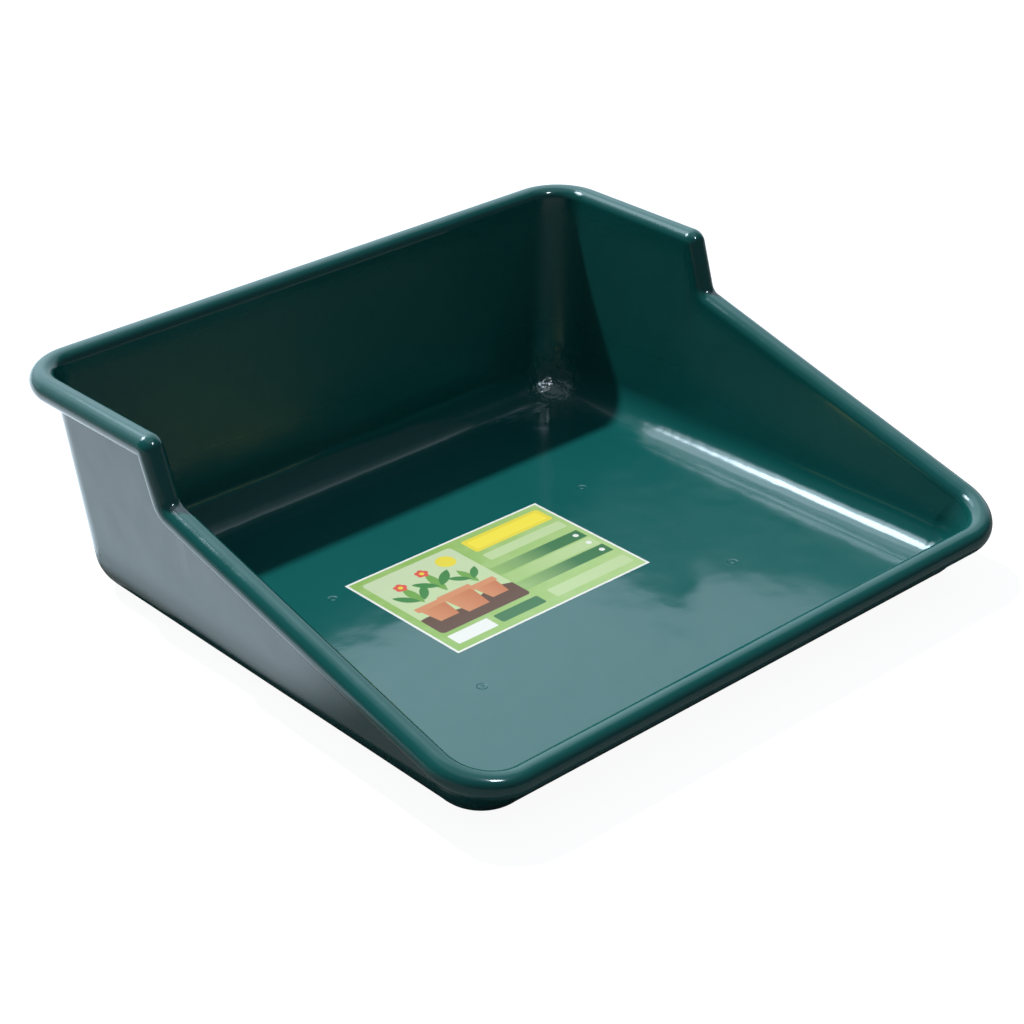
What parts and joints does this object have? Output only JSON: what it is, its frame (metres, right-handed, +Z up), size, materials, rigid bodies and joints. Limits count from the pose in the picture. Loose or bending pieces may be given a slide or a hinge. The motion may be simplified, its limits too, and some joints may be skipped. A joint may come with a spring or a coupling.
{
  "type": "potting tray",
  "caption": "Moulded tray for loose potting soil, high at the back, with sides that step down and slope to a low front, and a rolled rim.",
  "frame": {"origin": "on the ground, in the middle of the tray's outer box", "axes": "+Z up, +X across the tray to the right of someone who stands at the low front, -Y towards the low front"},
  "size_m": [0.61, 0.55, 0.198],
  "materials": {
    "tray_plastic": "gloss",
    "label_film": "printed"
  },
  "bodies": {
    "root": {"tray": "tray_plastic", "label": "label_film"}
  },
  "joints": []
}
